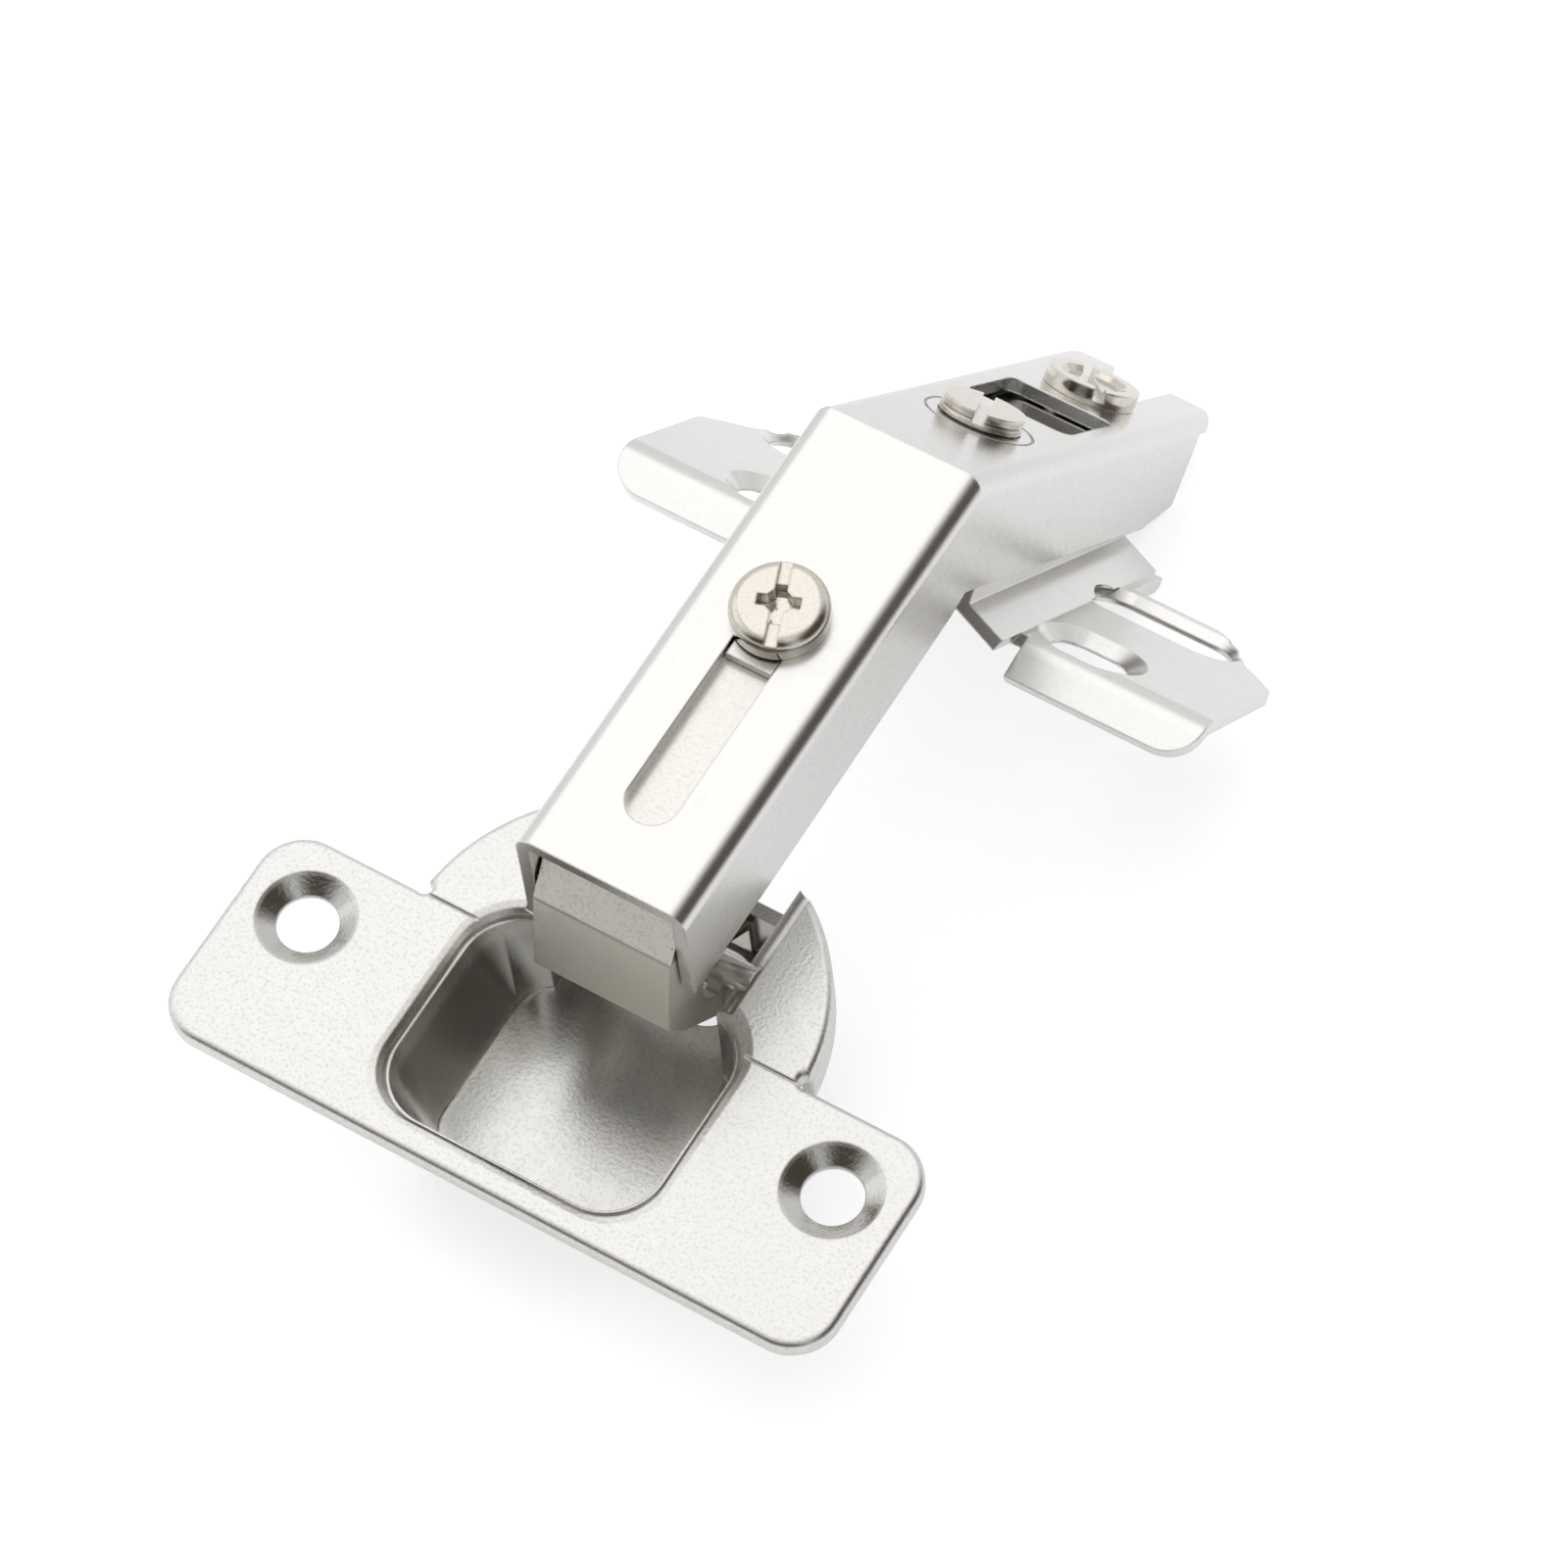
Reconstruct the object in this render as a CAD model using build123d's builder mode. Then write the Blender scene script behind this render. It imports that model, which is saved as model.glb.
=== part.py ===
import math
import os

from build123d import *

os.makedirs("parts", exist_ok=True)

# Sheet and fits
sheet = 1.2
running_fit = 0.05
open_fit = 0.25
seat_gap = 0.02

# Flange of the cup
flange_length = 60.2
flange_front = -19.3
flange_back = 0.45
flange_thickness = 1.5
flange_corner = 4.0
flange_edge = 0.6
hole_pitch = 48.0
hole_row = -6.0
hole_radius = 2.5
sink_radius = 4.15
sink_depth = 1.1

# Cup
cup_radius = 17.5
rim_collar = 3.0
cup_depth = 11.2
nick_radius = 0.6
crease_width = 0.25
crease_depth = 0.2
basin_half = 12.2
basin_front = -16.5
basin_draft = 2.7
basin_shoulder = 0.0
throat_half = 9.2
throat_end = 3.2
basin_corner = 5.0
floor_corner = 3.0
basin_lip = 1.0
lip_turns = [0, 30, 60, 90]
channel_half = 7.9
channel_front = 2.0
channel_end = 14.8
exit_sill = -4.0
exit_roll = 1.6
floor_slot_half = 6.0
floor_slot_front = 5.5
floor_slot_end = 12.6

# Pivots, as distance along the cup and height above the door face
pin_a = (7.5, -4.5)
pin_b = (6.96, -0.3)
rivet_c = (7.2, 7.8)
rivet_d = (7.8, 11.4)
pin_radius = 1.25
rivet_c_radius = 1.1
rivet_d_radius = 1.0
eye_a = 2.3
eye_b = 2.1
eye_c = 2.3
eye_d = 1.8

# Outer link
outer_half = 6.2
outer_web = [(-0.7, 1.8), (0.7, 10.3), (2.8, 13.6)]
outer_wall = [
    (-0.7, 1.8), (0.7, 10.3), (2.8, 13.6), (8.45, 9.73), (8.35, 5.81), (4.4, 3.2),
    (3.9, -0.3), (5.8, -2.9), pin_a, (6.1, -6.35), (1.1, -1.0),
]

# Inner link
inner_half = 3.7
inner_web = [(13.2, 9.0), (13.2, 4.8), (10.6, 1.1)]
inner_wall = [
    (8.6, 13.0), (13.2, 9.4), (13.2, 4.8), (8.6, -1.65), (5.7, 1.3), (8.0, 2.4),
    (10.8, 5.3), (10.8, 8.4), (9.07, 10.13), rivet_d,
]

# Front limb of the arm
arm_half = 7.6
arm_top = 17.4
arm_front = 1.44
arm_edge = 5.9
elbow = 45.94
elbow_radius = 7.0
arm_bend = 1.6
slot_half = 2.2
slot_start = 7.1
slot_end = 30.2

# Base limb of the arm, along the limb from the elbow
base_angle = 48.7
base_length = 54.0
wall_front = 5.7
elbow_inset = 6.5
front_corner = 5.4
wall_depth_front = 10.3
wall_depth_rear = 9.3
wall_rear = 50.0
wall_chamfer = 44.3
chamfer_depth = 7.8
window_start = 24.7
window_end = 35.2
window_half = 4.8
fork_half = 2.7
fork_start = 37.6
prong_corner = 3.0
adjust_place = 16.5
fixing_place = 41.0

# Inner slide and clamp
slide_half = 4.9
slide_sheet = 1.0
slide_web_start = 6.6
slide_web_end = 30.6
boss_half = 2.05
boss_start = 23.1
boss_end = 25.6
boss_height = 0.9
slide_wall = [
    (8.0, 12.9), (11.6, 13.0), (16.4, 16.2), (33.5, 16.2), (33.5, 9.5), (29.0, 7.2),
    (8.0, 5.65), rivet_c, (6.6, 12.2),
]
slide_ear_c = 2.2
slide_ear_d = 1.7
clamp_place = 27.9
clamp_shank = 2.0
clamp_head = 4.0
clamp_head_height = 2.1
clamp_tip = 9.8
clamp_plate_half = 3.8
clamp_plate_start = 22.4
clamp_plate_end = 33.2
clamp_plate_thickness = 2.0
cross_half = 1.75
cross_width = 1.0
cross_depth = 1.5
cross_turn = 21

# Screws of the base
adjust_radius = 3.5
adjust_crease = 4.6
adjust_rise = 1.5
adjust_tip = 2.2
screw_slot = 1.0
adjust_turn = 107
fixing_turn = 121
fixing_dish = 2.9
fixing_dish_depth = 0.5
screw_slot_depth = 1.0
thread_pitch = 1.0
thread_depth = 0.35
fixing_radius = 2.2
fixing_head = 4.0
fixing_head_height = 1.5
fixing_drop = 5.6

# Mounting plate, along the plate from the elbow
plate_angle = 45.0
wing_top = -15.0
wing_half = 27.2
wing_start = 14.8
wing_end = 37.0
tail_half = 11.0
tail_end = 43.0
wing_rear = [(27.2, 28.5), (25.2, 30.4), (23.5, 31.7), (21.6, 35.2), (19.0, 37.0)]
ramp_line = [(12.4, -18.1), (14.8, -15.0)]
ramp_corner = 3.2
ramp_bend = 1.3
ramp_inner = 10.6
hump_half = 6.3
hump_top = -4.1
hump_crease = -13.4
hump_bend = 1.3
hump_foot = 10.0
hump_start = 11.0
hump_end = 44.0
hump_window_start = 23.0
hump_window_end = 36.0
hump_window_half = 4.1
oval_place = (14.8, 19.0)
oval_size = (6.8, 4.8)
oval_sink = (9.5, 7.5)
oval_sink_depth = 1.0
wing_slot_place = (15.5, 32.8)
wing_slot_size = (13.0, 5.3)
wing_slot_bevel = 0.8

# Closing spring
spring_half = 4.4
spring_sheet = 0.7
spring_line = [(13.6, -9.4), (13.6, -5.2), (10.9, -2.9), (9.9, -2.9)]
spring_rivet_place = (2.4, -7.4)
spring_rivet_radius = 0.8
spring_rivet_head = 1.5
spring_rivet_rise = 0.6

# Planes of the two base directions
arm_plane = Plane(
    origin=(0, elbow, arm_top),
    x_dir=(1, 0, 0),
    z_dir=(0, math.sin(math.radians(base_angle)), math.cos(math.radians(base_angle))),
)
plate_plane = Plane(
    origin=(0, elbow, arm_top),
    x_dir=(1, 0, 0),
    z_dir=(0, math.sin(math.radians(plate_angle)), math.cos(math.radians(plate_angle))),
)
plate_side_plane = Plane(
    origin=plate_plane.origin,
    x_dir=plate_plane.y_dir,
    z_dir=(1, 0, 0),
)
plate_end_plane = Plane(
    origin=plate_plane.from_local_coords((0, hump_end, 0)),
    x_dir=(1, 0, 0),
    z_dir=-plate_plane.y_dir,
)


def band(points, width):
    # Closed outline of a strip that lies on the right hand of a line
    lines = []
    for start, end in zip(points, points[1:]):
        length = math.dist(start, end)
        side = ((end[1] - start[1]) / length * width, (start[0] - end[0]) / length * width)
        lines.append(((start[0] + side[0], start[1] + side[1]), (end[0] + side[0], end[1] + side[1])))
    inner = [lines[0][0]]
    for first, second in zip(lines, lines[1:]):
        ax, ay = first[1][0] - first[0][0], first[1][1] - first[0][1]
        bx, by = second[1][0] - second[0][0], second[1][1] - second[0][1]
        cx, cy = second[0][0] - first[0][0], second[0][1] - first[0][1]
        part = (cx * by - cy * bx) / (ax * by - ay * bx)
        inner.append((first[0][0] + part * ax, first[0][1] + part * ay))
    inner.append(lines[-1][1])
    return list(points) + inner[::-1]


def limb(along, depth):
    # Place on the side of the base limb, as distance along the cup and height
    place = arm_plane.from_local_coords((0, along, -depth))
    return (place.Y, place.Z)


elbow_point = (-arm_half, elbow, arm_top)
lower_front_point = (-arm_half, arm_front, arm_edge)
inner_elbow_point = (
    sheet - arm_half, elbow - sheet * math.tan(math.radians(base_angle / 2)), arm_top - sheet,
)


def is_long_arm_edge(edge):
    # True for the outer edges between the web and a side wall of the arm
    middle = edge @ 0.5
    on_side = abs(abs(middle.X) - arm_half) < 0.01
    on_front = abs(middle.Z - arm_top) < 0.01
    on_base = abs(arm_plane.to_local_coords(middle).Z) < 0.01
    return on_side and (on_front or on_base or edge.geom_type == GeomType.CIRCLE)


def is_hump_edge(edge):
    # True for the two long outer edges of the hump
    place = plate_plane.to_local_coords(edge @ 0.5)
    return abs(place.Z - hump_top) < 0.01 and abs(abs(place.X) - hump_half) < 0.01


def is_ramp_corner(edge):
    # True for the short edge at the lower outer corner of the ramp
    place = plate_plane.to_local_coords(edge @ 0.5)
    is_low = place.Y < ramp_line[0][0] + sheet
    return abs(place.X - wing_half) < 0.01 and is_low and edge.length < 1.1 * sheet


def round_fold(low, fold, setback):
    # Start, middle and end of the arc that rounds the fold between a slope and the level part behind it
    slope = (Vector(*low) - Vector(*fold)).normalized()
    level = Vector(1, 0)
    half = math.radians(slope.get_angle(level)) / 2
    inward = (slope + level).normalized() * setback * (1 - math.sin(half)) / math.cos(half)
    points = [Vector(*fold) + slope * setback, Vector(*fold) + inward, Vector(*fold) + level * setback]
    return [(point.X, point.Y) for point in points]


def basin(grow, inset, corner):
    # Outline of the basin opening, grown by the sheet or drawn in by the draft
    half = basin_half + grow - inset
    front = basin_front - grow + inset
    throat = throat_half + grow
    shoulder = basin_shoulder + grow / 2
    points = [
        (half, front), (half, shoulder), (throat, throat_end + grow),
        (-throat, throat_end + grow), (-half, shoulder), (-half, front),
    ]
    return FilletPolyline(*points, radius=corner, close=True)


# Cup: flange, rim, basin and cheeks in one pressing
with BuildPart() as cup:
    with BuildSketch():
        with Locations((0, (flange_front + flange_back) / 2)):
            RectangleRounded(flange_length, flange_back - flange_front, flange_corner)
        Circle(cup_radius)
        with Locations((cup_radius, 1), (-cup_radius, 1)):
            Circle(nick_radius, mode=Mode.SUBTRACT)
    extrude(amount=flange_thickness)
    fillet(cup.faces().sort_by(Axis.Z)[-1].outer_wire().edges(), radius=flange_edge)
    with BuildSketch(Plane.XY.offset(-rim_collar)):
        Circle(cup_radius)
        Circle(cup_radius - sheet, mode=Mode.SUBTRACT)
        with Locations((0, -cup_radius)):
            Rectangle(2.2 * cup_radius, 2 * (cup_radius + channel_front), mode=Mode.SUBTRACT)
    extrude(amount=rim_collar)
    with BuildSketch(Plane.XY):
        with BuildLine():
            basin(sheet, 0, basin_corner)
        make_face()
    with BuildSketch(Plane.XY.offset(-cup_depth)):
        with BuildLine():
            basin(sheet, basin_draft, floor_corner)
        make_face()
    loft()
    with BuildSketch(Plane.XY.offset(-cup_depth)):
        with Locations((0, (channel_front + channel_end) / 2)):
            Rectangle(2 * (channel_half + sheet), channel_end - channel_front)
    extrude(amount=cup_depth)
    with BuildSketch(Plane.XY.offset(flange_thickness)):
        with BuildLine():
            basin(0, 0, basin_corner)
        make_face()
    with BuildSketch(Plane.XY.offset(sheet - cup_depth)):
        with BuildLine():
            basin(0, basin_draft, floor_corner)
        make_face()
    loft(mode=Mode.SUBTRACT)
    with BuildSketch(Plane.XY.offset(sheet - cup_depth)):
        with Locations((0, (channel_end - sheet) / 2)):
            Rectangle(2 * channel_half, channel_end - sheet)
    extrude(amount=2 * cup_depth, mode=Mode.SUBTRACT)
    with BuildSketch(Plane.XY.offset(exit_sill)):
        with Locations((0, cup_radius)):
            Rectangle(2 * channel_half, cup_radius)
    extrude(amount=cup_depth, mode=Mode.SUBTRACT)
    for side in (-1, 1):
        with BuildSketch(Plane.XZ.offset(-throat_end)):
            with BuildLine():
                Polyline(
                    (side * channel_half, flange_thickness - exit_roll),
                    (side * (channel_half - exit_roll), flange_thickness - exit_roll),
                    (side * (channel_half - exit_roll), flange_thickness + exit_roll),
                    (side * (channel_half + exit_roll), flange_thickness + exit_roll),
                    (side * (channel_half + exit_roll), flange_thickness),
                )
                RadiusArc(
                    (side * (channel_half + exit_roll), flange_thickness),
                    (side * channel_half, flange_thickness - exit_roll), side * exit_roll,
                )
            make_face()
        extrude(amount=-cup_radius, mode=Mode.SUBTRACT)
    for upper, lower in zip(lip_turns, lip_turns[1:]):
        for turn in (math.radians(upper), math.radians(lower)):
            with BuildSketch(Plane.XY.offset(flange_thickness - basin_lip * (1 - math.cos(turn)))):
                with BuildLine():
                    basin(basin_lip * (1 - math.sin(turn)), 0, basin_corner)
                make_face()
        loft(mode=Mode.SUBTRACT)
    with BuildSketch(Plane.XY.offset(flange_thickness)):
        with Locations((0, flange_back)):
            Rectangle(2 * cup_radius, crease_width)
    extrude(amount=-crease_depth, mode=Mode.SUBTRACT)
    with BuildSketch(Plane.XY.offset(-cup_depth)):
        with Locations((0, (floor_slot_front + floor_slot_end) / 2)):
            RectangleRounded(2 * floor_slot_half, floor_slot_end - floor_slot_front, floor_corner)
    extrude(amount=sheet, mode=Mode.SUBTRACT)
    with Locations(*[(side * hole_pitch / 2, hole_row, flange_thickness) for side in (-1, 1)]):
        Cylinder(hole_radius, 4 * flange_thickness, mode=Mode.SUBTRACT)
        Cone(
            hole_radius, sink_radius, sink_depth,
            align=(Align.CENTER, Align.CENTER, Align.MAX), mode=Mode.SUBTRACT,
        )
    with BuildSketch(Plane.YZ.offset(-channel_half - sheet)):
        with Locations(pin_a, pin_b):
            Circle(pin_radius)
    extrude(amount=2 * (channel_half + sheet), mode=Mode.SUBTRACT)
    with BuildSketch(Plane.XZ.offset(-channel_end)):
        with Locations(spring_rivet_place, (-spring_rivet_place[0], spring_rivet_place[1])):
            Circle(spring_rivet_radius)
    extrude(amount=sheet, mode=Mode.SUBTRACT)

# Outer link: front web, leaning face and two side walls
with BuildPart() as outer_link:
    with BuildSketch(Plane.YZ.offset(-outer_half)):
        with BuildLine():
            Polyline(*outer_wall, close=True)
        make_face()
        with Locations(pin_a):
            Circle(eye_a)
        with Locations(rivet_c):
            Circle(eye_c)
        with Locations(pin_a):
            Circle(pin_radius + running_fit, mode=Mode.SUBTRACT)
        with Locations(rivet_c):
            Circle(rivet_c_radius + running_fit, mode=Mode.SUBTRACT)
    extrude(amount=sheet)
    mirror(about=Plane.YZ)
    with BuildSketch(Plane.YZ.offset(-outer_half)):
        with BuildLine():
            Polyline(*band(outer_web, sheet), close=True)
        make_face()
    extrude(amount=2 * outer_half)

# Inner link: two side walls joined by the rear web
with BuildPart() as inner_link:
    with BuildSketch(Plane.YZ.offset(-inner_half)):
        with BuildLine():
            Polyline(*inner_wall, close=True)
        make_face()
        with Locations(pin_b):
            Circle(eye_b)
        with Locations(rivet_d):
            Circle(eye_d)
        with Locations(pin_b):
            Circle(pin_radius + running_fit, mode=Mode.SUBTRACT)
        with Locations(rivet_d):
            Circle(rivet_d_radius + open_fit, mode=Mode.SUBTRACT)
    extrude(amount=sheet)
    mirror(about=Plane.YZ)
    with BuildSketch(Plane.YZ.offset(-inner_half)):
        with BuildLine():
            Polyline(*band(inner_web, sheet), close=True)
        make_face()
    extrude(amount=2 * inner_half)

# Pins through the cheeks of the cup
with BuildPart() as outer_link_pin:
    with BuildSketch(Plane.YZ.offset(-channel_half - sheet)):
        with Locations(pin_a):
            Circle(pin_radius)
    extrude(amount=2 * (channel_half + sheet))

with BuildPart() as inner_link_pin:
    with BuildSketch(Plane.YZ.offset(-channel_half - sheet)):
        with Locations(pin_b):
            Circle(pin_radius)
    extrude(amount=2 * (channel_half + sheet))

# Rivets through the walls of the slide
with BuildPart() as outer_link_rivet:
    with BuildSketch(Plane.YZ.offset(-outer_half)):
        with Locations(rivet_c):
            Circle(rivet_c_radius)
    extrude(amount=2 * outer_half)

with BuildPart() as inner_link_rivet:
    with BuildSketch(Plane.YZ.offset(-slide_half)):
        with Locations(rivet_d):
            Circle(rivet_d_radius)
    extrude(amount=2 * slide_half)

# Arm: one bent channel with a front limb, an elbow and a forked base limb
with BuildPart() as hinge_arm:
    with BuildSketch(Plane.YZ.offset(-arm_half)) as arm_side:
        with BuildLine():
            Polyline(
                (arm_front, arm_top), (elbow, arm_top), limb(base_length, 0),
                limb(base_length, sheet), limb(wall_rear, sheet), limb(wall_rear, chamfer_depth),
                limb(wall_chamfer, wall_depth_rear), limb(wall_front, wall_depth_front),
                (elbow - elbow_inset, arm_edge), (arm_front, arm_edge), close=True,
            )
        make_face()
        outer_elbow = arm_side.vertices().filter_by(lambda v: v.distance_to(Vertex(*elbow_point)) < 0.1)
        fillet(outer_elbow, elbow_radius)
        lower_front = arm_side.vertices().filter_by(lambda v: v.distance_to(Vertex(*lower_front_point)) < 0.1)
        fillet(lower_front, front_corner)
    extrude(amount=2 * arm_half)
    fillet(hinge_arm.edges().filter_by(is_long_arm_edge), radius=arm_bend)
    with BuildSketch(Plane.YZ.offset(sheet - arm_half)) as arm_inside:
        with BuildLine():
            Polyline(
                (arm_front - 1, arm_top - sheet), (inner_elbow_point[1], arm_top - sheet),
                limb(base_length + 1, sheet), limb(base_length + 1, 2 * wall_depth_front),
                (elbow, arm_edge - wall_depth_front), (arm_front - 1, arm_edge - 1), close=True,
            )
        make_face()
        inner_elbow = Vertex(*inner_elbow_point)
        near_elbow = arm_inside.vertices().filter_by(lambda v: v.distance_to(inner_elbow) < 0.1)
        fillet(near_elbow, elbow_radius - sheet)
    extrude(amount=2 * (arm_half - sheet), mode=Mode.SUBTRACT)
    with BuildSketch(Plane.XY.offset(arm_top)):
        with Locations((0, (slot_start + slot_end) / 2)):
            SlotOverall(slot_end - slot_start, 2 * slot_half, rotation=90)
    extrude(amount=-2 * sheet, mode=Mode.SUBTRACT)
    with BuildSketch(arm_plane):
        with Locations((0, (window_start + window_end) / 2)):
            RectangleRounded(2 * window_half, window_end - window_start, sheet)
        with Locations((0, adjust_place)):
            Circle(adjust_radius + running_fit)
        with Locations((0, fork_start + base_length / 2)):
            SlotOverall(base_length, 2 * fork_half, rotation=90)
    extrude(amount=-2 * sheet, mode=Mode.SUBTRACT)
    with BuildSketch(arm_plane):
        with Locations((0, adjust_place)):
            Circle(adjust_crease + crease_width / 2)
            Circle(adjust_crease - crease_width / 2, mode=Mode.SUBTRACT)
    extrude(amount=-crease_depth, mode=Mode.SUBTRACT)
    with BuildSketch(arm_plane):
        with Locations((0, base_length - prong_corner / 2)):
            Rectangle(2 * arm_half, prong_corner)
        with Locations((0, base_length / 2)):
            RectangleRounded(2 * arm_half, base_length, prong_corner, mode=Mode.SUBTRACT)
    extrude(amount=-2 * sheet, mode=Mode.SUBTRACT)

# Inner slide: channel in the front limb that carries the rivets
with BuildPart() as inner_slide:
    with BuildSketch(Plane.YZ.offset(-slide_half)):
        with BuildLine():
            Polyline(*slide_wall, close=True)
        make_face()
        with Locations(rivet_c):
            Circle(slide_ear_c)
        with Locations(rivet_d):
            Circle(slide_ear_d)
        with Locations(rivet_c):
            Circle(rivet_c_radius, mode=Mode.SUBTRACT)
        with Locations(rivet_d):
            Circle(rivet_d_radius, mode=Mode.SUBTRACT)
    extrude(amount=slide_sheet)
    mirror(about=Plane.YZ)
    with BuildSketch(Plane.XY.offset(arm_top - sheet)):
        with Locations((0, (slide_web_start + slide_web_end) / 2)):
            Rectangle(2 * outer_half, slide_web_end - slide_web_start)
        with Locations((0, clamp_place)):
            Circle(clamp_shank + running_fit, mode=Mode.SUBTRACT)
    extrude(amount=-slide_sheet)
    with BuildSketch(Plane.XY.offset(arm_top - sheet)):
        with Locations((0, (boss_start + boss_end) / 2)):
            Rectangle(2 * boss_half, boss_end - boss_start)
    extrude(amount=boss_height)

# Clamp plate: threaded plate under the slide
with BuildPart() as clamp_plate:
    with BuildSketch(Plane.XY.offset(arm_top - sheet - slide_sheet)):
        with Locations((0, (clamp_plate_start + clamp_plate_end) / 2)):
            Rectangle(2 * clamp_plate_half, clamp_plate_end - clamp_plate_start)
        with Locations((0, clamp_place)):
            Circle(clamp_shank + running_fit, mode=Mode.SUBTRACT)
    extrude(amount=-clamp_plate_thickness)

# Clamp screw with a domed head and a cross recess
with BuildPart() as clamp_screw:
    with BuildSketch(Plane.XY.offset(arm_top + seat_gap)):
        with Locations((0, clamp_place)):
            Circle(clamp_head)
    extrude(amount=clamp_head_height - seat_gap)
    fillet(clamp_screw.edges().sort_by(Axis.Z)[-1], radius=clamp_head_height / 2)
    with BuildSketch(Plane.XY.offset(clamp_tip)):
        with Locations((0, clamp_place)):
            Circle(clamp_shank)
    extrude(amount=arm_top + seat_gap - clamp_tip)
    with BuildSketch(Plane.XY.offset(arm_top + clamp_head_height)):
        with Locations((0, clamp_place)):
            Rectangle(2 * cross_half, cross_width, rotation=cross_turn)
            Rectangle(2 * cross_half, cross_width, rotation=cross_turn + 90)
            Rectangle(1.2 * cross_half, 1.2 * cross_half, rotation=cross_turn + 45)
    extrude(amount=-cross_depth, mode=Mode.SUBTRACT)
    with BuildSketch(Plane.XY.offset(arm_top + clamp_head_height)):
        with Locations((0, clamp_place)):
            Rectangle(2 * clamp_head, cross_width, rotation=cross_turn + 90)
    extrude(amount=-cross_depth / 3, mode=Mode.SUBTRACT)

# Adjusting screw in the base limb
with BuildPart() as adjusting_screw:
    with BuildSketch(arm_plane.offset(adjust_rise)):
        with Locations((0, adjust_place)):
            Circle(adjust_radius)
    extrude(amount=-adjust_rise - adjust_tip)
    for turn in range(3):
        with BuildSketch(arm_plane.offset(adjust_rise - thread_depth - turn * thread_pitch)):
            with Locations((0, adjust_place)):
                Circle(adjust_radius)
                Circle(adjust_radius - thread_depth, mode=Mode.SUBTRACT)
        extrude(amount=-thread_pitch / 2, mode=Mode.SUBTRACT)
    with BuildSketch(arm_plane.offset(adjust_rise)):
        with Locations((0, adjust_place)):
            Rectangle(2 * adjust_radius, screw_slot, rotation=adjust_turn)
    extrude(amount=-screw_slot_depth, mode=Mode.SUBTRACT)

# Fixing screw in the fork
with BuildPart() as fixing_screw:
    with BuildSketch(arm_plane.offset(seat_gap)):
        with Locations((0, fixing_place)):
            Circle(fixing_head)
    extrude(amount=fixing_head_height - seat_gap)
    with BuildSketch(arm_plane.offset(seat_gap)):
        with Locations((0, fixing_place)):
            Circle(fixing_radius)
    extrude(amount=-fixing_drop - seat_gap)
    with BuildSketch(arm_plane.offset(fixing_head_height)):
        with Locations((0, fixing_place)):
            Rectangle(2 * fixing_head, screw_slot, rotation=fixing_turn)
    extrude(amount=-screw_slot_depth, mode=Mode.SUBTRACT)
    with BuildSketch(arm_plane.offset(fixing_head_height)):
        with Locations((0, fixing_place)):
            Circle(fixing_dish)
    extrude(amount=-fixing_dish_depth, taper=45, mode=Mode.SUBTRACT)

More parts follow.
